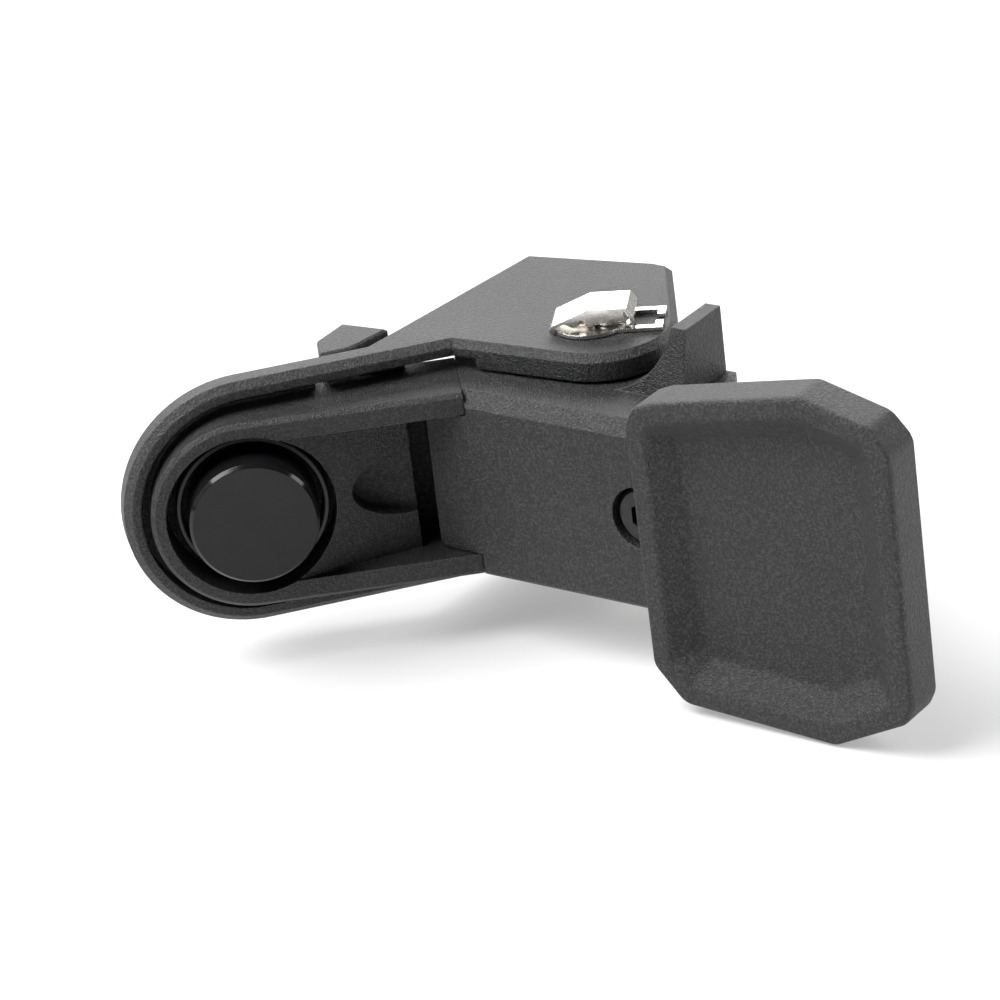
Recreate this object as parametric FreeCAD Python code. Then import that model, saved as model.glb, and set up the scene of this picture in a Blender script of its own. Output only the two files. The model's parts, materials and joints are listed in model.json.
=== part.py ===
import FreeCAD, Part

import math
import os

from FreeCAD import Vector

# Millimetres. X runs along the cradle towards the arm, +Y points out of the cradle's back, +Z is up.
# Shapes are drawn about the pivot pin's axis at mid height, then moved so the origin is the
# mouth of the fixing sleeve at the cradle's back.

# --- angles ---
ARM_ANGLE = 40.5
YOKE_REST = 8.5

# --- yoke ---
YOKE_HALF = 28.0
BAND_WALL = 3.5
BAND_DEPTH = 5.5
YOKE_FRONT = 8.0
PLATE_THICK = 5.8
PLATE_END_R = 16.0
PLATE_END_X = -2.0
YOKE_CHAMFER = 1.6
ROUND_X = -80.0
PLATE_CORNER = (-33.3, YOKE_FRONT)
PLATE_RIGHT = (20.5, 25.0)
PLATE_BACK = [(18.0, 28.4), (-6.5, 47.2), (-53.0, YOKE_FRONT + BAND_DEPTH)]
HINGE_PAD_X = -29.0
BUFFER_X = (-61.5, -56.5)
BUFFER_THICK = 0.6

# --- cradle ---
CRADLE_ROUND_X = -81.2
CRADLE_HALF = 21.4
CRADLE_FRONT = -10.3
CRADLE_BACK = 10.0
LEG_INNER = 16.5
SEAM_X = -33.7
FLOOR_END_X = -46.0
FLOOR_BACK = 2.0
FLOOR_RAMP_X = -72.0
FLOOR_RAMP_END = -2.4
FLOOR_STEP = 0.6
COVER_THICK = 3.0
RIM_CHAMFER = 0.9
BOWL_LENGTH = 13.5
BOWL_HALF = 7.6
BOWL_FLOOR = -0.6
FLANGE_HALF = 25.6
FLANGE_THICK = 2.4
FLANGE_GAP = 0.4
FLANGE_END_X = -44.5
FLANGE_STEP_X = -56.0
FLANGE_LOW_HALF = 24.0
WINDOW_X = (-64.0, -54.5)

# --- button ---
BUTTON_X = -80.8
BUTTON_R = 13.8
BUTTON_FACE = -14.4
BUTTON_TRAVEL = 2.0
BUTTON_GAP = 0.2
BUTTON_SKIN = 2.4
STEM_R = 4.0
STEM_GROOVE_R = 3.0
POCKET_R = 18.2
POCKET_FLOOR = -0.4
BUTTON_BACK = POCKET_FLOOR - BUTTON_TRAVEL - BUTTON_GAP
SPRING_R = 8.6
SPRING_WIRE_R = 0.55
SPRING_TURNS = 3.5
SPRING_SLOT = (5.5, 11.6)
RING_R = 6.2
RING_THICK = 0.9
COLLAR_R = 16.4
COLLAR_WALL = 1.3
COLLAR_LEN = 5.4

# --- arm block, in a frame whose X runs along the arm ---
BLOCK_HALF = 21.4
BLOCK_FRONT = -30.3
BLOCK_BACK = 0.5
KNUCKLE_R = 13.6
BLOCK_LEFT = -18.4
BLOCK_RIGHT = 36.0
TONGUE_HALF = 16.2
TONGUE_END_X = -41.8
TONGUE_BACK = 6.5
TOP_CHAMFER = 3.0
TAIL_CUT = [(30.0, 1.0), (37.0, 1.0), (37.0, -12.0)]
TAIL_Z = 13.0
FIN_RIGHT = 27.8
FIN_THICK = 3.6
FIN_FRONT_TOP = -12.8
FIN_FRONT_FOOT = -16.4
FIN_BACK = 0.5
FIN_TOP = 36.2
FIN_FOOT = 10.5
FIN_WAIST = (19.6, 26.6)
FIN_GAP = 0.5

# --- clamp screw ---
SCREW_X = 24.1
HEAD_R = 6.5
HEAD_LEN = 8.0
HEAD_SINK = 1.0
COUNTERBORE_R = 7.25
SHANK_R = 4.0
SHANK_HOLE_R = 4.3
HEX_KEY = 6.0
NUT_FLATS = 13.0
NUT_LEN = 6.5

# --- pivot ---
PIN_R = 4.0
PIN_HOLE_R = 4.05
PIN_TOP = 32.4
PIN_HEAD_R = 7.0
PIN_HEAD_LEN = 3.0
GROOVE_R = 3.3
GROOVE_LEN = 1.2
BUSH_R = 6.0
BUSH_LEN = 16.0
FLANGE_R = 9.0
FLANGE_LEN = 1.0
THRUST_LEN = 0.7
CLIP_THICK = 0.8
CLIP_TURN = -21.0
LEAF_X = -4.6
LEAF_R = 8.2
FORK_HALF = 5.6
FORK_WIRE = 1.7
FORK_MOUTH = 1.6
FORK_END = 11.4
HOOD_HALF = 4.9

# --- pad ---
PAD_FRONT = -40.3
PAD_BACK = -30.4
PAD_RIM = 4.2
PAD_BEVEL = 6.2
PAD_DEPTH = 4.6
PAD_LIP = 1.2
DISH_DROP = 2.4
PLATE_INSET = 12.0
STIFFENER = 2.0
PAD_OUTLINE = [
    (29.3, 26.2), (31.2, 30.9), (35.9, 32.8), (71.2, 40.1), (87.2, 35.9), (91.7, 31.0),
    (92.4, -25.3), (90.4, -29.3), (73.4, -37.7), (37.2, -35.7), (30.2, -27.9),
]
TENON_HALF = 9.0
TENON_X = 14.0
TENON_FRONT = -18.0
TENON_BACK = -9.0

# --- rear lug ---
LUG_TOP = 28.0
LUG_THICK = 6.0
LUG_OUTLINE = [(-62.4, 5.6), (-62.4, 13.3), (-56.4, 20.9), (-47.0, 14.4), (-55.6, 7.0)]
LUG_LEG = [(-61.4, 10.0), (-61.4, 13.2), (-56.6, 19.0), (-48.4, 14.0), (-48.4, 10.0)]
LUG_FOOT = 9.4
LUG_GAP = 0.5
LUG_SCREW_Z = 13.0

# --- fixing sleeve ---
SLEEVE_X = -53.0
SLEEVE_R = 5.0
SLEEVE_HOLE_R = 3.2
SLEEVE_FRONT = 0.4
SLEEVE_PROUD = 1.5

# --- screw positions ---
COVER_SCREWS = [(-90.8, 7.0), (-90.8, -7.0), (-66.5, 12.2), (-66.5, -12.2)]
TONGUE_SCREWS = [(-38.4, 9.0), (-38.4, -9.0)]
LUG_SCREWS = [-58.2, -51.6]
PAD_SCREWS = [(47.0, 10.0), (47.0, -4.0), (58.0, 10.0), (58.0, -4.0)]
SMALL_SCREW_R = 1.5
SMALL_HEAD_R = 2.8
SMALL_HEAD_LEN = 1.8

ORIGIN = Vector(SLEEVE_X, CRADLE_BACK + SLEEVE_PROUD, 0)
UP = Vector(0, 0, 1)
BACK = Vector(0, 1, 0)
EPS = 0.02


def box(x0, x1, y0, y1, z0, z1):
    return Part.makeBox(x1 - x0, y1 - y0, z1 - z0, Vector(x0, y0, z0))


def cyl(radius, start, direction, length):
    return Part.makeCylinder(radius, length, start, direction)


def tube(outer, inner, start, direction, length):
    return cyl(outer, start, direction, length).cut(cyl(inner, start, direction, length))


def face_of(points):
    return Part.Face(Part.makePolygon([Vector(*p) for p in points] + [Vector(*points[0])]))


def prism_z(outline, z0, z1):
    """Solid with an XY outline between two heights."""
    return face_of([(x, y, z0) for x, y in outline]).extrude(UP * (z1 - z0))


def hexagon(flats, start, direction, length):
    """Hexagonal prism with two of its corners up and down."""
    radius = flats / math.sqrt(3)
    side = direction.cross(UP).normalize()
    points = []
    for k in range(6):
        turn = math.radians(60 * k)
        points.append(start + UP * (radius * math.cos(turn)) + side * (radius * math.sin(turn)))
    return Part.Face(Part.makePolygon(points + [points[0]])).extrude(direction * length)


def turned(shape, degrees):
    out = shape.copy()
    out.rotate(Vector(0, 0, 0), UP, degrees)
    return out


def in_arm(shape):
    return turned(shape, -ARM_ANGLE)


def in_yoke(shape):
    return turned(shape, YOKE_REST)


def edges_where(shape, test):
    return [edge for edge in shape.Edges if test(edge)]


def inside(edge, axis, value):
    """True for an edge lying wholly in one plane square to X, Y or Z."""
    low = getattr(edge.BoundBox, axis + "Min")
    high = getattr(edge.BoundBox, axis + "Max")
    return abs(low - value) < EPS and abs(high - value) < EPS


def stadium(half, y0, y1, x_right):
    """Slot-shaped solid whose round end is concentric with the cradle's."""
    body = box(CRADLE_ROUND_X, x_right, y0, y1, -half, half)
    return body.fuse(cyl(half, Vector(CRADLE_ROUND_X, y0, 0), BACK, y1 - y0)).removeSplitter()


# --------------------------------------------------------------------- yoke

def tangent_angle(point, side):
    """Direction from the plate end's centre to where a line from the point touches its round."""
    x, y = point[0] - PLATE_END_X, point[1]
    return math.atan2(y, x) + side * math.acos(PLATE_END_R / math.hypot(x, y))


def on_plate_end(angle):
    return PLATE_END_X + PLATE_END_R * math.cos(angle), PLATE_END_R * math.sin(angle)


def plate_face(z):
    """Outline of a yoke plate: straight arm, rounded end at the pin, slanted back edge."""
    first = tangent_angle(PLATE_CORNER, 1)
    last = tangent_angle(PLATE_RIGHT, -1)
    if first > last:
        first -= 2 * math.pi
    start, middle, end = (on_plate_end(angle) for angle in (first, (first + last) / 2, last))
    back_edge = YOKE_FRONT + BAND_DEPTH
    chain = [end, PLATE_RIGHT] + PLATE_BACK + [(ROUND_X, back_edge), (ROUND_X, YOKE_FRONT)]
    chain += [PLATE_CORNER, start]
    arc = Part.Arc(Vector(*start, z), Vector(*middle, z), Vector(*end, z)).toShape()
    lines = [Part.makeLine(Vector(*a, z), Vector(*b, z)) for a, b in zip(chain[:-1], chain[1:])]
    return Part.Face(Part.Wire([arc] + lines))


def make_yoke():
    inner = YOKE_HALF - BAND_WALL
    top = plate_face(inner).extrude(UP * BAND_WALL)
    bottom = plate_face(-YOKE_HALF).extrude(UP * BAND_WALL)
    end = tube(YOKE_HALF, inner, Vector(ROUND_X, YOKE_FRONT, 0), BACK, BAND_DEPTH)
    end = end.cut(box(ROUND_X, ROUND_X + 40, 0, 30, -40, 40))
    yoke = top.fuse([bottom, end]).removeSplitter()
    front_edges = edges_where(yoke, lambda e: inside(e, "Y", YOKE_FRONT) and e.BoundBox.XLength > 5
                              and max(abs(e.BoundBox.ZMax), abs(e.BoundBox.ZMin)) > inner + 1)
    rim_edges = edges_where(yoke, lambda e: (inside(e, "Z", YOKE_HALF) or inside(e, "Z", -YOKE_HALF))
                            and e.BoundBox.XMax > -53 and e not in front_edges)
    yoke = yoke.makeChamfer(YOKE_CHAMFER, front_edges + rim_edges)
    # thicker hinge pads under the top plate and over the bottom one
    keep = box(HINGE_PAD_X, 40, -20, 60, -YOKE_HALF, YOKE_HALF)
    pad_len = PLATE_THICK - BAND_WALL
    for low in (YOKE_HALF - PLATE_THICK, -YOKE_HALF + BAND_WALL):
        yoke = yoke.fuse(plate_face(low).extrude(UP * pad_len).common(keep))
    hole = cyl(PIN_HOLE_R, Vector(0, 0, -YOKE_HALF - 1), UP, 2 * YOKE_HALF + 2)
    return in_yoke(yoke.removeSplitter().cut(hole))


def make_buffer():
    """Rubber strip on the band's back edge, where the yoke rests near the lug."""
    back_edge = YOKE_FRONT + BAND_DEPTH
    z0 = YOKE_HALF - BAND_WALL
    strip = box(*BUFFER_X, back_edge, back_edge + BUFFER_THICK, z0 + 0.4, YOKE_HALF - 0.6)
    return in_yoke(strip)


# ------------------------------------------------------------------- cradle

def make_cradle():
    outer = stadium(CRADLE_HALF, CRADLE_FRONT, CRADLE_BACK, SEAM_X)
    rim = edges_where(outer, lambda e: inside(e, "Y", CRADLE_FRONT) and not inside(e, "X", SEAM_X))
    outer = outer.makeChamfer(RIM_CHAMFER, rim)
    back_rim = edges_where(outer, lambda e: inside(e, "Y", CRADLE_BACK) and not inside(e, "X", SEAM_X))
    outer = outer.makeChamfer(RIM_CHAMFER, back_rim)
    hollow = stadium(LEG_INNER, CRADLE_FRONT - 1, CRADLE_BACK + 1, SEAM_X + 1)
    shell = outer.cut(hollow)
    # floor: level near the round end, then falling away towards the slot
    floor = stadium(LEG_INNER, CRADLE_FRONT, FLOOR_BACK, FLOOR_END_X)
    level = CRADLE_FRONT + FLOOR_STEP
    ramp = [(FLOOR_RAMP_X, level), (FLOOR_END_X + 1, FLOOR_RAMP_END), (FLOOR_END_X + 1, -20),
            (-120, -20), (-120, level)]
    floor = floor.cut(prism_z(ramp, -30, 30))
    cradle = shell.fuse([floor, make_flange()]).removeSplitter()
    # round pocket for the button, guide bore for its stem
    cradle = cradle.cut(cyl(POCKET_R, Vector(CRADLE_ROUND_X, POCKET_FLOOR, 0), -BACK, 20))
    cradle = cradle.cut(cyl(STEM_R + 0.05, Vector(BUTTON_X, -20, 0), BACK, 40))
    # half-round pocket that opens into the slot
    mouth = Vector(FLOOR_END_X, -20, 0)
    ellipse = Part.Ellipse(mouth, BOWL_LENGTH, BOWL_HALF)
    ellipse.rotate(FreeCAD.Placement(mouth, FreeCAD.Rotation(Vector(1, 0, 0), 90), Vector(0, 0, 0)))
    bowl = Part.Face(Part.Wire(ellipse.toShape())).extrude(BACK * (20 + BOWL_FLOOR))
    cradle = cradle.cut(bowl)
    cradle = cradle.cut(cyl(SLEEVE_R + EPS, Vector(SLEEVE_X, SLEEVE_FRONT - EPS, 0), BACK, 40))
    for x, z in COVER_SCREWS:
        post = cyl(3.2, Vector(x, FLOOR_BACK, z), BACK, CRADLE_BACK - COVER_THICK - FLOOR_BACK - 0.05)
        cradle = cradle.fuse(post).cut(cyl(SMALL_SCREW_R, Vector(x, FLOOR_BACK, z), BACK, 20))
    return cradle


def make_flange():
    """Thin ring that stands out of the cradle behind the resting yoke, open below the lug."""
    half = FLANGE_HALF
    y0 = YOKE_FRONT + BAND_DEPTH + FLANGE_GAP
    body = box(ROUND_X, SEAM_X, y0, y0 + FLANGE_THICK, -half, half)
    body = in_yoke(body.fuse(cyl(half, Vector(ROUND_X, y0, 0), BACK, FLANGE_THICK)))
    ring = body.cut(stadium(LEG_INNER, -40, 40, SEAM_X + 20))
    ring = ring.common(box(-120, FLANGE_END_X, -40, CRADLE_BACK, -40, 40))
    for z in (FLANGE_LOW_HALF, -40):
        ring = ring.cut(box(FLANGE_STEP_X, 0, -40, 40, z, z + 40 - FLANGE_LOW_HALF))
    return ring.cut(box(*WINDOW_X, -40, 40, CRADLE_HALF, 40))


def make_cover():
    y0 = CRADLE_BACK - COVER_THICK
    cover = stadium(LEG_INNER - 0.15, y0, CRADLE_BACK - 0.02, SEAM_X - 0.2)
    cover = cover.cut(cyl(SLEEVE_R + 0.02, Vector(SLEEVE_X, 0, 0), BACK, 20))
    for x, z in COVER_SCREWS + TONGUE_SCREWS:
        cover = cover.cut(cyl(SMALL_SCREW_R + 0.1, Vector(x, 0, z), BACK, 20))
        cover = cover.cut(cyl(SMALL_HEAD_R + 0.1, Vector(x, CRADLE_BACK - 1.9, z), BACK, 5))
    for x in LUG_SCREWS:
        cover = cover.cut(cyl(SMALL_SCREW_R, Vector(x, 0, LUG_SCREW_Z), BACK, 20))
    return cover


def small_screw(head, direction, length):
    """Countersunk-style machine screw: its head's outer face is at head."""
    body = cyl(SMALL_HEAD_R, head, direction, SMALL_HEAD_LEN)
    body = body.fuse(cyl(SMALL_SCREW_R - 0.05, head, direction, length))
    return body.cut(hexagon_any(2.0, head, direction, 1.1))


def hexagon_any(flats, start, direction, length):
    """Hexagonal prism about any direction, vertical ones included."""
    side = Vector(1, 0, 0)
    other = direction.cross(side).normalize()
    radius = flats / math.sqrt(3)
    points = []
    for k in range(6):
        turn = math.radians(60 * k)
        points.append(start + side * (radius * math.cos(turn)) + other * (radius * math.sin(turn)))
    return Part.Face(Part.makePolygon(points + [points[0]])).extrude(direction * length)


def make_cover_screws():
    screws = [small_screw(Vector(x, CRADLE_BACK - 0.1, z), -BACK, 7.5) for x, z in COVER_SCREWS]
    return Part.makeCompound(screws)


def make_tongue_screws():
    screws = [small_screw(Vector(x, CRADLE_BACK - 0.1, z), -BACK, 9.0) for x, z in TONGUE_SCREWS]
    return Part.makeCompound(screws)


def make_tongue_inserts():
    starts = [Vector(x, TONGUE_BACK, z) for x, z in TONGUE_SCREWS]
    return Part.makeCompound([tube(2.6, SMALL_SCREW_R, start, -BACK, 6.0) for start in starts])


def make_sleeve():
    length = CRADLE_BACK + SLEEVE_PROUD - SLEEVE_FRONT
    return tube(SLEEVE_R, SLEEVE_HOLE_R, Vector(SLEEVE_X, SLEEVE_FRONT, 0), BACK, length)


def make_lug():
    cap = prism_z(LUG_OUTLINE, LUG_TOP - LUG_THICK, LUG_TOP)
    upper = edges_where(cap, lambda e: inside(e, "Z", LUG_TOP))
    cap = cap.makeChamfer(0.5, upper)
    leg = prism_z(LUG_LEG, LUG_FOOT, LUG_TOP - LUG_THICK)
    # sloped foot so the leg fades into the cradle's back
    slope = face_of([(-70, 14.0, LUG_FOOT - 1), (-70, 30, LUG_FOOT - 1), (-70, 30, 22.0)])
    lug = cap.fuse(leg.cut(slope.extrude(Vector(40, 0, 0)))).removeSplitter()
    back_edge = YOKE_FRONT + BAND_DEPTH + LUG_GAP
    yoke_side = [(-90, 0), (-90, back_edge), (-53.3, back_edge), (-6.9, 47.8), (0, 0)]
    lug = lug.cut(in_yoke(prism_z(yoke_side, YOKE_HALF - BAND_WALL - LUG_GAP, YOKE_HALF + 1)))
    lug = lug.cut(box(FLANGE_STEP_X, 0, 0, CRADLE_BACK, 0, FLANGE_LOW_HALF + LUG_GAP))
    for x in LUG_SCREWS:
        lug = lug.cut(cyl(SMALL_SCREW_R + 0.1, Vector(x, 9, LUG_SCREW_Z), BACK, 20))
        lug = lug.cut(cyl(SMALL_HEAD_R + 0.1, Vector(x, 12.4, LUG_SCREW_Z), BACK, 20))
    return lug


def make_lug_screws():
    screws = [small_screw(Vector(x, 14.2, LUG_SCREW_Z), -BACK, 7.0) for x in LUG_SCREWS]
    return Part.makeCompound(screws)


# ------------------------------------------------------------------- button

def make_button():
    head = cyl(BUTTON_R, Vector(BUTTON_X, BUTTON_FACE, 0), BACK, BUTTON_BACK - BUTTON_FACE)
    head = head.makeChamfer(0.7, edges_where(head, lambda e: inside(e, "Y", BUTTON_FACE)))
    slot_inner, slot_outer = SPRING_SLOT
    slot = tube(slot_outer, slot_inner, Vector(BUTTON_X, BUTTON_FACE + BUTTON_SKIN, 0), BACK, 20)
    stem_end = FLOOR_BACK + 2.6
    stem = cyl(STEM_R, Vector(BUTTON_X, BUTTON_BACK - 1, 0), BACK, stem_end - BUTTON_BACK + 1)
    groove = tube(STEM_R + 1, STEM_GROOVE_R, Vector(BUTTON_X, FLOOR_BACK + EPS, 0), BACK, RING_THICK + 0.1)
    return head.cut(slot).fuse(stem.cut(groove)).removeSplitter()


def make_button_ring():
    """Retaining ring snapped in the stem's groove behind the floor."""
    ring = tube(RING_R, STEM_GROOVE_R + EPS, Vector(BUTTON_X, FLOOR_BACK + 0.07, 0), BACK, RING_THICK)
    return ring.cut(box(BUTTON_X - 1.2, BUTTON_X + 1.2, 0, 10, 0, 10))


def make_button_spring():
    start = BUTTON_FACE + BUTTON_SKIN + SPRING_WIRE_R + 0.05
    height = POCKET_FLOOR - SPRING_WIRE_R - 0.05 - start
    helix = Part.makeHelix(height / SPRING_TURNS, height, SPRING_R)
    profile = Part.Wire(Part.makeCircle(SPRING_WIRE_R, Vector(SPRING_R, 0, 0), Vector(0, 1, 0)))
    coil = Part.Wire(helix).makePipeShell([profile], True, True)
    coil.rotate(Vector(0, 0, 0), Vector(1, 0, 0), -90)
    coil.translate(Vector(BUTTON_X, start, 0))
    return coil


def make_collar():
    front = POCKET_FLOOR - COLLAR_LEN
    collar = tube(COLLAR_R, COLLAR_R - COLLAR_WALL, Vector(BUTTON_X, front, 0), BACK, COLLAR_LEN)
    return collar.makeChamfer(0.3, edges_where(collar, lambda e: inside(e, "Y", front)))


# ---------------------------------------------------------------- arm block

def arm_point(x, y):
    turn = math.radians(-ARM_ANGLE)
    return x * math.cos(turn) - y * math.sin(turn), x * math.sin(turn) + y * math.cos(turn)


def make_block():
    corner = arm_point(BLOCK_LEFT, BLOCK_FRONT)
    right_front = arm_point(BLOCK_RIGHT, BLOCK_FRONT)
    right_back = arm_point(BLOCK_RIGHT, BLOCK_BACK)
    plan = [(SEAM_X + 0.1, corner[1]), right_front, right_back, arm_point(4, BLOCK_BACK),
            (0, CRADLE_BACK), (SEAM_X + 0.1, CRADLE_BACK)]
    block = prism_z(plan, -BLOCK_HALF, BLOCK_HALF)
    chamfered = edges_where(block, lambda e: inside(e, "Z", BLOCK_HALF) and on_front(e))
    block = block.makeChamfer(TOP_CHAMFER, chamfered)
    lower = edges_where(block, lambda e: inside(e, "Z", -BLOCK_HALF) and on_front(e))
    block = block.makeChamfer(1.0, lower)
    block = block.fuse(cyl(KNUCKLE_R, Vector(0, 0, -BLOCK_HALF), UP, 2 * BLOCK_HALF))
    slope = (corner[1] - right_front[1]) / (corner[0] - right_front[0])
    tongue_front = corner[1] + slope * (TONGUE_END_X - corner[0])
    tongue = [(SEAM_X + 0.1, corner[1]), (TONGUE_END_X, tongue_front), (TONGUE_END_X, TONGUE_BACK),
              (SEAM_X + 0.1, TONGUE_BACK)]
    block = block.fuse(prism_z(tongue, -TONGUE_HALF, TONGUE_HALF))
    block = block.fuse(in_arm(make_fin()))
    block = block.removeSplitter().cut(in_arm(prism_z(TAIL_CUT, TAIL_Z, BLOCK_HALF + 1)))
    # socket for the pad's tenon, and the clamp screw's stepped hole and nut pocket
    half = TENON_HALF + 0.1
    block = block.cut(in_arm(box(TENON_X - 0.5, BLOCK_RIGHT + 1, TENON_FRONT - 0.1, TENON_BACK + 0.1,
                                 -half, half)))
    face = Vector(SCREW_X, BLOCK_FRONT - 1, 0)
    block = block.cut(in_arm(cyl(SHANK_HOLE_R, face, BACK, 60)))
    block = block.cut(in_arm(cyl(COUNTERBORE_R, face, BACK, HEAD_LEN + HEAD_SINK + 1)))
    nut_at = Vector(SCREW_X, BLOCK_BACK - NUT_LEN - 0.6, 0)
    block = block.cut(in_arm(hexagon(NUT_FLATS + 0.3, nut_at, BACK, 20)))
    # bores for the pivot bushes
    block = block.cut(cyl(BUSH_R + EPS, Vector(0, 0, -30), UP, 60))
    for side in (1, -1):
        start = Vector(0, 0, side * (BLOCK_HALF - FLANGE_LEN))
        block = block.cut(cyl(FLANGE_R + 0.1, start, UP * side, 3))
    for x, z in TONGUE_SCREWS:
        block = block.cut(cyl(2.62, Vector(x, TONGUE_BACK, z), -BACK, 8.0))
    return block


def on_front(edge):
    """True for an edge on the arm block's long front face."""
    for vertex in edge.Vertexes:
        turn = math.radians(ARM_ANGLE)
        y = vertex.X * math.sin(turn) + vertex.Y * math.cos(turn)
        if abs(y - BLOCK_FRONT) > 0.1:
            return False
    return edge.Length > 20


def fin_point(x, z):
    """Point on the fin's front face, which leans back towards its top."""
    rise = (z - BLOCK_HALF) / (FIN_TOP - BLOCK_HALF)
    return Vector(x, FIN_FRONT_FOOT + rise * (FIN_FRONT_TOP - FIN_FRONT_FOOT), z)


def make_fin():
    """Upright stop with a hollowed foot, trimmed to clear the yoke plate's rounded end."""
    below = BLOCK_HALF - 1
    foot = fin_point(FIN_FOOT, BLOCK_HALF)
    shoulder = fin_point(FIN_RIGHT - FIN_THICK, FIN_TOP)
    corner = fin_point(FIN_RIGHT, FIN_TOP)
    base = fin_point(FIN_RIGHT, below)
    under = fin_point(FIN_FOOT, below)
    edges = [Part.Arc(foot, fin_point(*FIN_WAIST), shoulder).toShape(), Part.makeLine(shoulder, corner),
             Part.makeLine(corner, base), Part.makeLine(base, under), Part.makeLine(under, foot)]
    fin = Part.Face(Part.Wire(edges)).extrude(BACK * 30)
    fin = fin.cut(box(-50, 50, FIN_BACK, 50, 0, 50))
    return fin.cut(cyl(PLATE_END_R - PLATE_END_X + FIN_GAP, Vector(0, 0, BLOCK_HALF), UP, 30))


def make_bushes(side):
    start = Vector(0, 0, side * (BLOCK_HALF - BUSH_LEN))
    bush = tube(BUSH_R, PIN_HOLE_R, start, UP * side, BUSH_LEN)
    flange = tube(FLANGE_R, PIN_HOLE_R, Vector(0, 0, side * (BLOCK_HALF - FLANGE_LEN)), UP * side, FLANGE_LEN)
    return bush.fuse(flange).removeSplitter()


def make_thrust(side):
    return tube(8.6, PIN_HOLE_R + 0.1, Vector(0, 0, side * BLOCK_HALF), UP * side, THRUST_LEN)


# ---------------------------------------------------------- pivot pin, clip

def make_pin():
    bottom = -YOKE_HALF - 1.0
    pin = cyl(PIN_R, Vector(0, 0, bottom), UP, PIN_TOP - bottom)
    pin = pin.makeChamfer(1.1, edges_where(pin, lambda e: inside(e, "Z", PIN_TOP)))
    head = cyl(PIN_HEAD_R, Vector(0, 0, bottom - PIN_HEAD_LEN), UP, PIN_HEAD_LEN)
    low = edges_where(head, lambda e: inside(e, "Z", bottom - PIN_HEAD_LEN))
    head = head.makeChamfer(0.6, low)
    groove = tube(PIN_R + 1, GROOVE_R, Vector(0, 0, YOKE_HALF + 0.1), UP, GROOVE_LEN)
    return in_yoke(pin.fuse(head).cut(groove))


def make_pin_washer():
    return in_yoke(tube(8.5, PIN_HOLE_R + 0.1, Vector(0, 0, -YOKE_HALF - 1.0), UP, 1.0))


def make_clip():
    """Folded spring clip: a keyhole leaf snapped in the pin's groove, a hood over the pin's end."""
    t = CLIP_THICK
    z0 = YOKE_HALF + 0.25
    half = HOOD_HALF
    leaf = cyl(LEAF_R, Vector(LEAF_X, 0, z0), UP, t).fuse(box(-2, FORK_END, -FORK_HALF, FORK_HALF, z0, z0 + t))
    opening = box(3, FORK_END - FORK_WIRE, -FORK_HALF + FORK_WIRE, FORK_HALF - FORK_WIRE, z0 - 1, z0 + 3)
    leaf = leaf.cut(opening).cut(box(5, FORK_END + 1, -FORK_MOUTH, FORK_MOUTH, z0 - 1, z0 + 3))
    leaf = leaf.cut(cyl(GROOVE_R + 0.03, Vector(0, 0, z0 - 1), UP, 5))
    leaf = leaf.cut(box(0, 4, -GROOVE_R + 0.6, GROOVE_R - 0.6, z0 - 1, z0 + 3))
    # hood: fold at the left, slope, flat top over the pin and a turned-down lip
    rise = PIN_TOP + 0.15
    fold = LEAF_X - LEAF_R + 0.6
    outer = [(fold, z0), (fold - 0.7, z0 + 0.9), (fold, z0 + 1.9), (-4.6, rise + t), (4.0, rise + t),
             (5.4, rise - 1.2), (5.4, rise - 2.4), (4.6, rise - 2.4), (4.6, rise - 1.4), (3.6, rise),
             (-4.3, rise), (fold + 0.6, z0 + 1.4), (fold + 0.1, z0 + 0.9), (fold + 0.6, z0 + t), (fold + 0.6, z0)]
    hood = face_of([(x, -half, z) for x, z in outer]).extrude(BACK * 2 * half)
    # side cheeks that stiffen the slope, each with a small window
    cheek = [(fold + 2.4, z0 + 2.2), (-4.4, rise + 0.2), (3.4, rise + 0.2), (3.4, rise - 2.0), (fold + 4.2, z0 + 1.3)]
    for y in (-half, half - t):
        side = face_of([(x, y, z) for x, z in cheek]).extrude(BACK * t)
        hood = hood.fuse(side.cut(box(-6.4, -5.0, -20, 20, rise - 2.6, rise - 1.4)))
    return in_yoke(turned(leaf.fuse(hood).removeSplitter(), CLIP_TURN))


# -------------------------------------------------------------- clamp screw

def make_clamp_screw():
    front = BLOCK_FRONT + HEAD_SINK
    head = cyl(HEAD_R, Vector(SCREW_X, front, 0), BACK, HEAD_LEN)
    head = head.makeChamfer(0.6, edges_where(head, lambda e: inside(e, "Y", front)))
    head = head.cut(hexagon(HEX_KEY, Vector(SCREW_X, front - 0.5, 0), BACK, 4.5))
    tip = BLOCK_BACK - 0.4
    shank = cyl(SHANK_R, Vector(SCREW_X, front + HEAD_LEN - 0.5, 0), BACK, tip - front - HEAD_LEN + 0.5)
    return in_arm(head.fuse(shank).removeSplitter())


def make_clamp_nut():
    start = Vector(SCREW_X, BLOCK_BACK - NUT_LEN - 0.55, 0)
    nut = hexagon(NUT_FLATS, start, BACK, NUT_LEN)
    return in_arm(nut.cut(cyl(SHANK_R, start - BACK, BACK, 20)))


# ---------------------------------------------------------------------- pad

def scaled_outline(shrink):
    """Pad outline moved inwards by an even distance."""
    wire = Part.makePolygon([Vector(x, 0, z) for x, z in PAD_OUTLINE + [PAD_OUTLINE[0]]])
    if shrink == 0:
        return wire
    return wire.makeOffset2D(-shrink, 2)


def outline_at(shrink, y):
    wire = scaled_outline(shrink)
    wire.translate(Vector(0, y, 0))
    return wire


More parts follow.
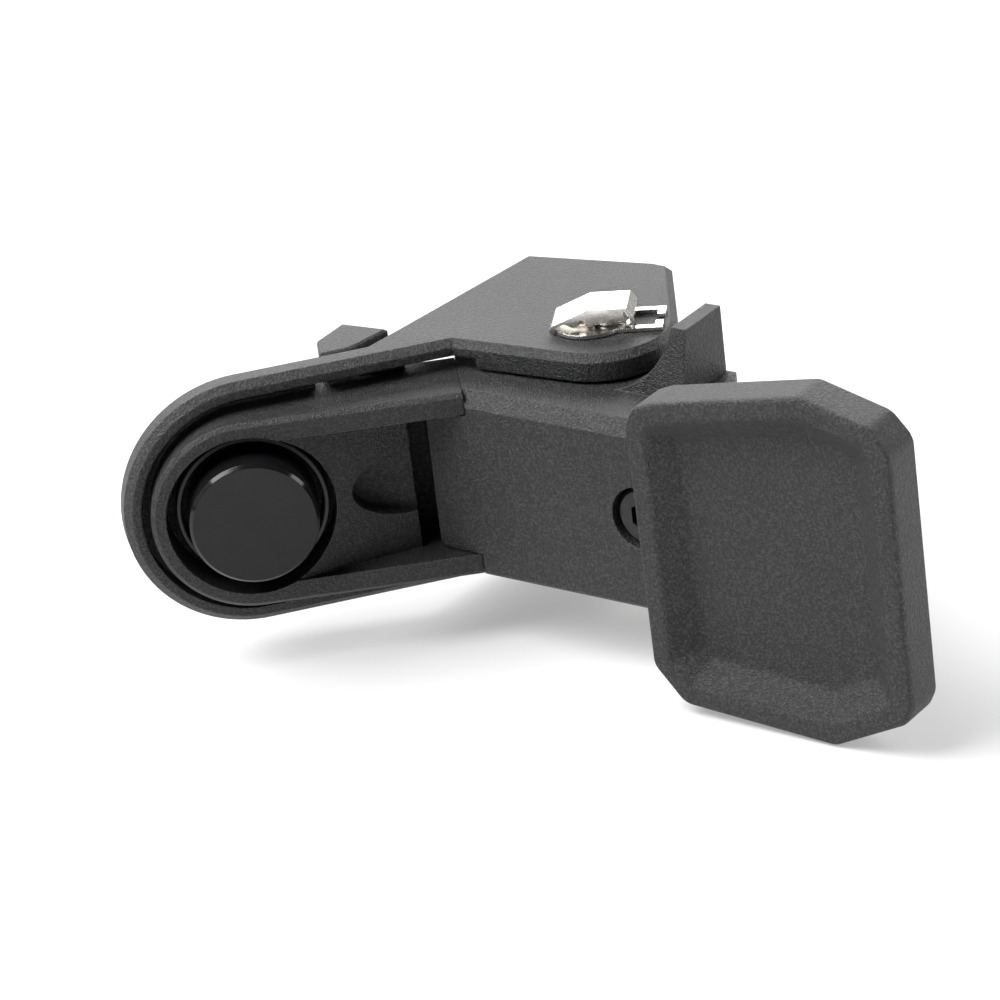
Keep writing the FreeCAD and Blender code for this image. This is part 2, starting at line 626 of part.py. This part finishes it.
def make_pad():
    brow = PAD_FRONT + PAD_LIP
    plate = Part.Face(outline_at(0, brow)).extrude(BACK * (PAD_BACK - brow))
    crown = Part.makeLoft([outline_at(0, brow), outline_at(PAD_LIP, PAD_FRONT)], True, True)
    floor = outline_at(PAD_RIM + PAD_BEVEL, PAD_FRONT + PAD_DEPTH)
    floor.translate(-UP * DISH_DROP)
    dish = Part.makeLoft([outline_at(PAD_RIM, PAD_FRONT - 0.01), floor], True, True)
    plate = plate.fuse(crown).cut(dish)
    # shallow pocket in the back for the steel stiffener
    pocket = Part.Face(outline_at(PLATE_INSET, PAD_BACK - STIFFENER)).extrude(BACK * 3)
    plate = plate.cut(pocket)
    neck = Part.makeLoft([
        polygon_x(BLOCK_RIGHT + 0.3, BLOCK_FRONT + 4, BLOCK_BACK - 1, -17, 20.4),
        polygon_x(52, PAD_BACK, -12, -13, 20.0),
        polygon_x(68, PAD_BACK, -25, -9, 18.0)], True, True)
    stub = box(TENON_X, BLOCK_RIGHT + 1, TENON_FRONT, TENON_BACK, -TENON_HALF, TENON_HALF)
    stub = stub.cut(cyl(SHANK_HOLE_R, Vector(SCREW_X, -40, 0), BACK, 60))
    arm = neck.fuse(stub).removeSplitter()
    stiffener = Part.Face(outline_at(PLATE_INSET + 0.1, PAD_BACK - STIFFENER)).extrude(BACK * STIFFENER)
    for x, z in PAD_SCREWS:
        start = Vector(x, PAD_BACK - STIFFENER, z)
        arm = arm.cut(cyl(SMALL_SCREW_R, start, BACK, 8))
        stiffener = stiffener.cut(cyl(SMALL_HEAD_R + 0.1, start, BACK, 10))
    return in_arm(plate), in_arm(arm), in_arm(stiffener)


def make_pad_screws():
    starts = [Vector(x, PAD_BACK - STIFFENER + 0.1, z) for x, z in PAD_SCREWS]
    return in_arm(Part.makeCompound([small_screw(start, BACK, 7.0) for start in starts]))


def polygon_x(x, y0, y1, z0, z1):
    points = [(x, y0, z0), (x, y1, z0), (x, y1, z1), (x, y0, z1), (x, y0, z0)]
    return Part.makePolygon([Vector(*p) for p in points])


def place(shape):
    out = shape.copy()
    out.translate(-ORIGIN)
    return out


pad_plate, pad_arm, pad_stiffener = make_pad()
nodes = {
    "yoke": make_yoke(),
    "yoke_buffer": make_buffer(),
    "cradle": make_cradle(),
    "back_cover": make_cover(),
    "cover_screws": make_cover_screws(),
    "tongue_screws": make_tongue_screws(),
    "tongue_inserts": make_tongue_inserts(),
    "fixing_sleeve": make_sleeve(),
    "rear_lug": make_lug(),
    "lug_screws": make_lug_screws(),
    "button": make_button(),
    "button_ring": make_button_ring(),
    "button_spring": make_button_spring(),
    "button_collar": make_collar(),
    "arm_block": make_block(),
    "bush_upper": make_bushes(1),
    "bush_lower": make_bushes(-1),
    "thrust_washer_upper": make_thrust(1),
    "thrust_washer_lower": make_thrust(-1),
    "pivot_pin": make_pin(),
    "pin_washer": make_pin_washer(),
    "pin_clip": make_clip(),
    "clamp_screw": make_clamp_screw(),
    "clamp_nut": make_clamp_nut(),
    "pad": pad_plate,
    "pad_neck": pad_arm,
    "pad_stiffener": pad_stiffener,
    "pad_screws": make_pad_screws(),
}

os.makedirs("parts", exist_ok=True)
for name, shape in nodes.items():
    placed = place(shape)
    placed.exportStep("parts/" + name + ".step")
    print(name, placed.isValid(), len(placed.Solids), round(placed.Volume, 1))
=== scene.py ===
import json
import math

import bpy
import numpy as np
from mathutils import Matrix, Vector


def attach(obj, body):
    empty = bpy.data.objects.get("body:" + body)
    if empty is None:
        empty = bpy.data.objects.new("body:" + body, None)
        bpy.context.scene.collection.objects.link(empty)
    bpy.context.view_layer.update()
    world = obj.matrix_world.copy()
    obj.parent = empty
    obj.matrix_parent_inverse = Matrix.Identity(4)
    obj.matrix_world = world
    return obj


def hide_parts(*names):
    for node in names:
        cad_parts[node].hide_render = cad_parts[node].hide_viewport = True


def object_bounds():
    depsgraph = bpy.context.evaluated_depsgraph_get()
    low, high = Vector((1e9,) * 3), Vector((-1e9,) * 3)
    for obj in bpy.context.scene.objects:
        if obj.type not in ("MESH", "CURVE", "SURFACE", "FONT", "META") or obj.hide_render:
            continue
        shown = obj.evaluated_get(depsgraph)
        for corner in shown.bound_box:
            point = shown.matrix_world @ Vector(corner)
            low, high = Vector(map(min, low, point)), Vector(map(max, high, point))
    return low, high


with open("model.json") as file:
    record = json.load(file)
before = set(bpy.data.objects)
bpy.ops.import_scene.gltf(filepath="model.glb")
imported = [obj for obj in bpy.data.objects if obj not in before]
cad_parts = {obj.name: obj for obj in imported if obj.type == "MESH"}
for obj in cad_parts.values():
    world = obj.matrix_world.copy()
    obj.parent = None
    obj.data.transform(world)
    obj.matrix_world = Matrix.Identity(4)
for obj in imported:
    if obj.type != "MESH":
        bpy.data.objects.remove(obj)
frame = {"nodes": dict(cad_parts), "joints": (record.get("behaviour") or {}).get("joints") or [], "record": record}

cadLow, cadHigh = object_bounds()
nodes = frame["nodes"]
record = frame["record"]
joints = {joint["name"]: joint for joint in frame["joints"]}
mounts = {mount["name"]: mount for mount in record["mounts"]}
pivot = Vector(joints["yoke_swing"]["pos_m"])
mm = 0.001
print("frame loaded:", len(nodes), "nodes")


class Signal:
    # a socket that can be added, subtracted, scaled and clamped; every operator becomes one Math node
    def __init__(self, finish, socket):
        self.finish = finish
        self.socket = socket

    def maths(self, operation, first, second=0.0):
        settings = {"operation": operation}
        return self.finish.node("ShaderNodeMath", settings, {0: first, 1: second})["Value"]

    def __add__(self, other):
        return self.maths("ADD", self, other)

    def __radd__(self, other):
        return self.maths("ADD", other, self)

    def __sub__(self, other):
        return self.maths("SUBTRACT", self, other)

    def __rsub__(self, other):
        return self.maths("SUBTRACT", other, self)

    def __mul__(self, other):
        return self.maths("MULTIPLY", self, other)

    def __rmul__(self, other):
        return self.maths("MULTIPLY", other, self)

    def clamped(self):
        return self.maths("MINIMUM", self.maths("MAXIMUM", self, 0.0), 1.0)


class Finish:
    # one material's graph; node() takes a type, its settings, then its sockets' values or links
    def __init__(self, name):
        self.material = bpy.data.materials.new(name)
        self.material.use_nodes = True
        self.tree = self.material.node_tree
        self.tree.nodes.clear()
        self.place = self.node("ShaderNodeTexCoord")["Object"]

    def node(self, kind, settings=None, sockets=None):
        made = self.tree.nodes.new(kind)
        for name, value in (settings or {}).items():
            if name == "stops":
                self.setStops(made.color_ramp, value)
            else:
                setattr(made, name, value)
        for name, value in (sockets or {}).items():
            self.feed(made, name, value)
        return {out.name: Signal(self, out) for out in made.outputs if out.enabled}

    def feed(self, made, name, value):
        if isinstance(name, int):
            target = made.inputs[name]
        else:
            target = next(entry for entry in made.inputs if entry.enabled and entry.name == name)
        if isinstance(value, Signal):
            self.tree.links.new(value.socket, target)
        else:
            target.default_value = value

    def setStops(self, ramp, stops):
        for index, (position, tone) in enumerate(stops):
            stop = ramp.elements[index] if index < 2 else ramp.elements.new(position)
            stop.position = position
            stop.color = (tone, tone, tone, 1.0)

    def noise(self, size, detail=2.0, rough=0.5, place=None):
        # soft noise whose lumps are about `size` metres across
        sockets = {"Vector": place or self.place, "Scale": 1.0 / size, "Detail": detail,
                   "Roughness": rough}
        return self.node("ShaderNodeTexNoise", {}, sockets)["Fac"]

    def cells(self, size):
        return self.node("ShaderNodeTexVoronoi", {}, {"Vector": self.place, "Scale": 1.0 / size})["Distance"]

    def stretched(self, scale, turn=(0.0, 0.0, 0.0)):
        sockets = {"Vector": self.place, "Scale": scale, "Rotation": turn}
        return self.node("ShaderNodeMapping", {}, sockets)["Vector"]

    def ramp(self, value, stops):
        return self.node("ShaderNodeValToRGB", {"stops": stops}, {"Fac": value})["Color"]

    def mix(self, share, first, second):
        sockets = {"Factor": share, "A": (*first, 1.0) if isinstance(first, tuple) else first,
                   "B": (*second, 1.0) if isinstance(second, tuple) else second}
        return self.node("ShaderNodeMix", {"data_type": "RGBA"}, sockets)["Result"]

    def softEdge(self, radius):
        # normal of the surface as if its sharp edges were rounded
        return self.node("ShaderNodeBevel", {"samples": 6}, {"Radius": radius})["Normal"]

    def edgeShare(self, rounded):
        # 0 on flat ground, towards 1 on an edge, from how far the rounded normal leans away
        flat = self.node("ShaderNodeNewGeometry")["Normal"]
        settings = {"operation": "DOT_PRODUCT"}
        lean = self.node("ShaderNodeVectorMath", settings, {0: rounded, 1: flat})["Value"]
        return ((1.0 - lean) * 7.0).clamped()

    def bump(self, height, depth, under, strength=1.0):
        sockets = {"Height": height, "Distance": depth, "Strength": strength, "Normal": under}
        return self.node("ShaderNodeBump", {}, sockets)["Normal"]

    def close(self, sockets):
        shader = self.node("ShaderNodeBsdfPrincipled", {}, sockets)["BSDF"]
        self.node("ShaderNodeOutputMaterial", {}, {"Surface": shader})
        return self.material


nylonPlan = dict(
    dark=(0.0036, 0.0040, 0.0042),
    pale=(0.052, 0.053, 0.053),
    edge_wear_and_highlight=(0.075, 0.075, 0.074),
    grain=0.62 * mm,
    pits=0.34 * mm,
    depth=0.42 * mm,
    edge=0.50 * mm,
    specular=0.50,
)


def mouldedNylon(name, plan=nylonPlan, tone=1.0, rough=0.5):
    # glass-filled nylon from a spark-eroded mould: pebbled, with pale fibre specks and paler edges that are partly
    # rubbed wear and partly painted highlight
    finish = Finish(name)
    pebbles = finish.noise(plan["grain"], 3.0, 0.65)
    pits = finish.cells(plan["pits"])
    flow = finish.noise(28 * mm, 3.0, 0.55)
    rounded = finish.softEdge(plan["edge"])
    edge = finish.edgeShare(rounded) * finish.noise(2.2 * mm, 3.0, 0.6)
    specks = finish.ramp(pebbles, [(0.46, 0.0), (0.62, 1.0)])
    share = (specks * 0.70 + flow * 0.18).clamped()
    dark = tuple(part * tone for part in plan["dark"])
    pale = tuple(part * tone for part in plan["pale"])
    ground = finish.mix(share, dark, pale)
    # edges are mixed towards a paler colour: partly rubbed wear, partly a painted highlight standing in for light
    # catching the chamfers
    colour = finish.mix((edge * 0.9).clamped(), ground, plan["edge_wear_and_highlight"])
    roughness = rough + pebbles * 0.14 - flow * 0.08 - edge * 0.16
    height = pebbles * 0.85 + pits * 0.4
    return finish.close({
        "Base Color": colour,
        "Roughness": roughness.clamped(),
        "Specular IOR Level": plan["specular"],
        "IOR": 1.53,
        "Normal": finish.bump(height, plan["depth"], rounded),
    })


buttonPlan = dict(colour=(0.005, 0.005, 0.0055), haze=(0.009, 0.009, 0.010), rough=0.10, ripple=6 * mm,
                  specular=0.24)


def polishedBlack(name, plan=buttonPlan):
    # smooth moulded cap: faint sink ripple, thin handling haze and a crisp rounded edge
    finish = Finish(name)
    haze = finish.noise(plan["ripple"], 4.0, 0.62)
    dust = finish.noise(0.35 * mm, 1.0, 0.5)
    rounded = finish.softEdge(0.25 * mm)
    roughness = plan["rough"] + haze * 0.07 + finish.ramp(dust, [(0.66, 0.0), (0.8, 0.2)]) * 0.5
    return finish.close({
        "Base Color": finish.mix(haze, plan["colour"], plan["haze"]),
        "Roughness": roughness,
        "Specular IOR Level": plan["specular"],
        "IOR": 1.54,
        "Coat Roughness": 0.05,
        "Coat Weight": 0.04 + haze * 0.06,
        "Normal": finish.bump(haze, 0.02 * mm, rounded, 0.4),
    })


satinPlan = dict(dark=(0.006, 0.006, 0.006), pale=(0.014, 0.014, 0.014), rough=0.34, spread=0.12,
                 grain=0.3 * mm, cloud=7 * mm, edge=0.2 * mm, depth=0.02 * mm)


def satinBlack(name, plan=satinPlan):
    # fine satin moulding, smoother than the arm
    finish = Finish(name)
    grain = finish.noise(plan["grain"], 2.0, 0.5)
    cloud = finish.noise(plan["cloud"], 3.0, 0.5)
    rounded = finish.softEdge(plan["edge"])
    return finish.close({
        "Base Color": finish.mix(cloud, plan["dark"], plan["pale"]),
        "Roughness": plan["rough"] + grain * plan["spread"],
        "Normal": finish.bump(grain, plan["depth"], rounded),
    })


steelPlan = dict(
    nickel=dict(bright=(0.86, 0.84, 0.80), dull=(0.60, 0.57, 0.53), rough=0.15, metal=1.0),
    zinc=dict(bright=(0.72, 0.74, 0.77), dull=(0.50, 0.51, 0.53), rough=0.28, metal=1.0),
    oxide=dict(bright=(0.050, 0.050, 0.052), dull=(0.018, 0.018, 0.019), rough=0.30, metal=0.85),
    brass=dict(bright=(0.84, 0.62, 0.28), dull=(0.55, 0.38, 0.16), rough=0.22, metal=1.0),
)


def drawnMetal(name, plan):
    # metal with tool lines, small dents and dulled patches
    finish = Finish(name)
    lines = finish.noise(1.0, 2.0, 0.5, finish.stretched((900.0, 5200.0, 900.0), (0.2, 0.5, 0.9)))
    patches = finish.noise(2.4 * mm, 4.0, 0.6)
    dents = finish.noise(1.1 * mm, 2.0, 0.5)
    rounded = finish.softEdge(0.16 * mm)
    dull = finish.ramp(patches, [(0.42, 0.0), (0.72, 1.0)])
    share = (dull * 0.55 + lines * 0.25).clamped()
    return finish.close({
        "Base Color": finish.mix(share, plan["bright"], plan["dull"]),
        "Metallic": plan["metal"],
        "Roughness": plan["rough"] + dull * 0.16 + lines * 0.08,
        "Normal": finish.bump(lines * 0.3 + dents * 0.7, 0.035 * mm, rounded, 0.6),
    })


acetalPlan = dict(dark=(0.62, 0.60, 0.54), pale=(0.72, 0.70, 0.64), rough=0.38, spread=0.10,
                  cloud=3 * mm, edge=0.2 * mm, depth=0.02 * mm)


def mouldedAcetal(name, plan=acetalPlan):
    # pale bearing plastic, slightly clouded
    finish = Finish(name)
    cloud = finish.noise(plan["cloud"], 3.0, 0.5)
    rounded = finish.softEdge(plan["edge"])
    return finish.close({
        "Base Color": finish.mix(cloud, plan["dark"], plan["pale"]),
        "Roughness": plan["rough"] + cloud * plan["spread"],
        "Normal": finish.bump(cloud, plan["depth"], rounded),
    })


rubberPlan = dict(dark=(0.012, 0.012, 0.012), pale=(0.026, 0.026, 0.026), rough=0.78, spread=0.12,
                  grain=0.4 * mm, edge=0.2 * mm, depth=0.05 * mm)


def softRubber(name, plan=rubberPlan):
    # matt black rubber with a fine open grain
    finish = Finish(name)
    grain = finish.noise(plan["grain"], 3.0, 0.6)
    rounded = finish.softEdge(plan["edge"])
    return finish.close({
        "Base Color": finish.mix(grain, plan["dark"], plan["pale"]),
        "Roughness": plan["rough"] + grain * plan["spread"],
        "Normal": finish.bump(grain, plan["depth"], rounded),
    })


finishes = {
    "yoke": mouldedNylon("yoke_nylon", tone=1.0, rough=0.44),
    # the cradle takes the same nylon at 0.75 tone: a darker copy that paints the shade inside its hollow
    "cradle": mouldedNylon("cradle_nylon_painted_shade", tone=0.75, rough=0.46),
    "arm": mouldedNylon("arm_nylon", tone=1.0, rough=0.46),
    "pad": mouldedNylon("pad_nylon", tone=1.05, rough=0.50),
    "button": polishedBlack("button_cap"),
    "collar": satinBlack("collar_satin"),
    "steel_bright": drawnMetal("nickel_steel", steelPlan["nickel"]),
    "steel_black": drawnMetal("oxide_steel", steelPlan["oxide"]),
    "steel_zinc": drawnMetal("zinc_steel", steelPlan["zinc"]),
    "brass": drawnMetal("turned_brass", steelPlan["brass"]),
    "bushing": mouldedAcetal("bush_acetal"),
    "rubber": softRubber("buffer_rubber"),
}

slotOf = {part["node"]: part["material_slot"] for part in record["subparts"]}
for name, node in nodes.items():
    node.data.materials.clear()
    node.data.materials.append(finishes[slotOf[name]])
print("finishes:", len(finishes))


def makePiece(name, points, faces, slot, body, replaced):
    mesh = bpy.data.meshes.new(name)
    mesh.from_pydata(points.tolist(), [], faces)
    mesh.validate()
    mesh.shade_smooth()
    piece = bpy.data.objects.new(name, mesh)
    bpy.context.scene.collection.objects.link(piece)
    piece.data.materials.append(finishes[slot])
    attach(piece, body)
    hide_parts(*replaced)
    return piece


def softProfile(corners, radius, steps=6):
    # each inner corner of a broken line becomes a quadratic arc that starts `radius` before it
    line = np.array(corners, float)
    before, corner, after = line[:-2], line[1:-1], line[2:]

    def towards(other):
        gap = np.linalg.norm(other - corner, axis=1, keepdims=True)
        return corner + (other - corner) * np.minimum(radius / gap, 0.48)

    t = np.linspace(0, 1, steps)[None, :, None]
    start, end = towards(before)[:, None], towards(after)[:, None]
    arcs = (1 - t) ** 2 * start + 2 * t * (1 - t) * corner[:, None] + t ** 2 * end
    return np.vstack([line[:1], arcs.reshape(-1, 2), line[-1:]])


def insetRing(outline, inset, corner, turns=240, looks=900):
    # a convex outline moved inwards by `inset` with corners of radius `corner`:
    # along each direction the shape reaches h; the moved shape's radius at f is the least of
    # (h - inset - corner) / cos(t - f), and its farthest point each way, plus `corner`, is the ring
    look = np.linspace(0, 2 * np.pi, looks, endpoint=False)
    reach = (outline @ np.stack([np.cos(look), np.sin(look)])).max(0) - inset - corner
    gap = np.cos(look[:, None] - look[None, :])
    radius = np.where(gap > 0.03, reach[:, None] / np.maximum(gap, 0.03), np.inf).min(0)
    edge = radius * np.stack([np.cos(look), np.sin(look)])
    turn = np.linspace(0, 2 * np.pi, turns, endpoint=False)
    away = np.stack([np.cos(turn), np.sin(turn)])
    far = (away.T @ edge).argmax(1)
    return (edge[:, far] + corner * away).T


def ringFaces(rings, around):
    # quads between neighbouring rings, and a fan at the first and the last ring's middle point
    row = np.arange(rings - 1)[:, None] * around
    here = np.arange(around)[None, :]
    beside = (here + 1) % around
    quads = np.stack([row + here, row + beside, row + around + beside, row + around + here], -1)
    first, last = rings * around, rings * around + 1
    top = (rings - 1) * around
    fans = [(first, int(b), int(a)) for a, b in zip(here[0], beside[0])]
    fans += [(last, int(top + a), int(top + b)) for a, b in zip(here[0], beside[0])]
    return quads.reshape(-1, 4).tolist() + fans


padPlan = dict(rim=4.4 * mm, bevel=6.0 * mm, dish=4.4 * mm, pocket=12 * mm, pocketDepth=2.0 * mm,
               outerRound=1.5 * mm, innerRound=0.8 * mm, corner=4.2 * mm, innerCorner=1.2 * mm)


def buildPad(plan=padPlan):
    # dished pad: its profile, from the back's middle over the rim to the dish's middle, carried
    # round the outline; each profile point is an inset from the outline and a height off the back
    outward = Vector(mounts["pad_floor"]["axis"])
    across = Vector((0, 0, 1)).cross(outward).normalized()
    cloud = np.array([v.co for v in nodes["pad"].data.vertices], float)
    side, rise, out = cloud @ np.array(across), cloud[:, 2], cloud @ np.array(outward)
    back, front = out.min(), out.max()
    thick = front - back
    flat = np.stack([side, rise], -1)
    middle = (flat.min(0) + flat.max(0)) / 2
    rim, bevel = plan["rim"], plan["bevel"]
    pocket, depth = plan["pocket"], plan["pocketDepth"]
    backLine = softProfile([(pocket + 4 * mm, depth), (pocket, depth), (pocket, 0.0), (0.0, 0.0),
                            (0.0, thick / 2)], 0.5 * mm)
    outer = softProfile([(0.0, thick / 2), (0.0, thick), (rim / 2, thick)], plan["outerRound"])
    inner = softProfile([(rim / 2, thick), (rim, thick), (rim + bevel, thick - plan["dish"]),
                         (rim + bevel + 6 * mm, thick - plan["dish"] - 0.15 * mm)], plan["innerRound"])
    profile = np.vstack([backLine, outer[1:], inner[1:]])
    rings = []
    for inset, height in profile:
        corner = max(plan["corner"] - inset, plan["innerCorner"])
        ring = insetRing(flat - middle, inset, corner) + middle
        rings.append(np.column_stack([ring, np.full(len(ring), back + height)]))
    centres = [(*middle, back + plan["pocketDepth"]), (*middle, back + profile[-1][1])]
    local = np.vstack(rings + [np.array(centres)])
    axes = np.array([across, (0, 0, 1), outward], float)
    faces = ringFaces(len(rings), len(rings[0]))
    return makePiece("pad_shell", local @ axes, faces, "pad", "bracket", ["pad"])


padShell = buildPad()
print("pad shell:", len(padShell.data.polygons), "faces")


stagePlan = dict(size=6.0, drop=0.2 * mm, tone=0.50, glow=0.33, fill=0.05)


def buildStage(plan=stagePlan):
    half = plan["size"] / 2
    height = cadLow.z - plan["drop"]
    mesh = bpy.data.meshes.new("floor")
    corners = [(-half, -half, height), (half, -half, height), (half, half, height), (-half, half, height)]
    mesh.from_pydata(corners, [], [(0, 1, 2, 3)])
    floor = bpy.data.objects.new("floor", mesh)
    bpy.context.scene.collection.objects.link(floor)
    finish = Finish("pale_floor")
    tone = plan["tone"]
    floor.data.materials.append(finish.close({
        "Base Color": (tone, tone, tone, 1.0),
        "Roughness": 0.9,
        "Specular IOR Level": 0.1,
        "Emission Color": (1.0, 1.0, 1.0, 1.0),
        "Emission Strength": plan["glow"],
    }))
    world = bpy.data.worlds.new("studio")
    world.use_nodes = True
    world.node_tree.nodes["Background"].inputs["Color"].default_value = (1.0, 1.0, 1.0, 1.0)
    world.node_tree.nodes["Background"].inputs["Strength"].default_value = plan["fill"]
    bpy.context.scene.world = world


softBoxes = {
    "rear": dict(at=(0.05, 1.15, 0.62), size=(1.9, 0.7), glow=5.6),
    "left": dict(at=(-1.20, -0.45, 0.42), size=(0.9, 0.7), glow=0.7),
    "overhead": dict(at=(-0.66, -0.10, 1.05), size=(0.9, 0.9), glow=12.0),
    "right": dict(at=(1.25, -0.20, 0.35), size=(0.8, 0.7), glow=5.5),
}


def softBox(name, plan):
    lamp = bpy.data.lights.new(name, "AREA")
    lamp.shape = "RECTANGLE"
    lamp.size, lamp.size_y = plan["size"]
    lamp.energy = plan["glow"] * math.pi * plan["size"][0] * plan["size"][1]
    holder = bpy.data.objects.new(name, lamp)
    holder.location = plan["at"]
    aim = (cadLow + cadHigh) / 2 - Vector(plan["at"])
    holder.rotation_euler = aim.to_track_quat("-Z", "Y").to_euler()
    bpy.context.scene.collection.objects.link(holder)


cameraPlan = dict(place=(-0.0682, -0.8640, 0.4007), azimuth=-9.26, elevation=25.78, roll=4.18, lens=160.0)


def buildCamera(plan=cameraPlan):
    # the lens axis is set by azimuth, elevation and roll, then swung the short way to the object's middle
    azimuth, elevation = math.radians(plan["azimuth"]), math.radians(plan["elevation"])
    back = Vector((math.sin(azimuth) * math.cos(elevation), -math.cos(azimuth) * math.cos(elevation),
                   math.sin(elevation)))
    level = Vector((0, 0, 1)).cross(back).normalized()
    tilt = Matrix.Rotation(math.radians(-plan["roll"]), 3, back)
    right = tilt @ level
    facing = Matrix((right, back.cross(right), back)).transposed()
    place = pivot + Vector(plan["place"])
    middle = (cadLow + cadHigh) / 2
    swing = back.rotation_difference((place - middle).normalized())
    camera = bpy.data.objects.new("camera", bpy.data.cameras.new("camera"))
    camera.data.lens = plan["lens"]
    camera.data.clip_start = 0.01
    camera.location = place
    camera.rotation_mode = "QUATERNION"
    camera.rotation_quaternion = swing @ facing.to_quaternion()
    bpy.context.scene.collection.objects.link(camera)
    bpy.context.scene.camera = camera


buildStage()
for name, plan in softBoxes.items():
    softBox(name, plan)
buildCamera()
bpy.context.scene.view_settings.view_transform = "Standard"
print("stage, lights and camera ready")
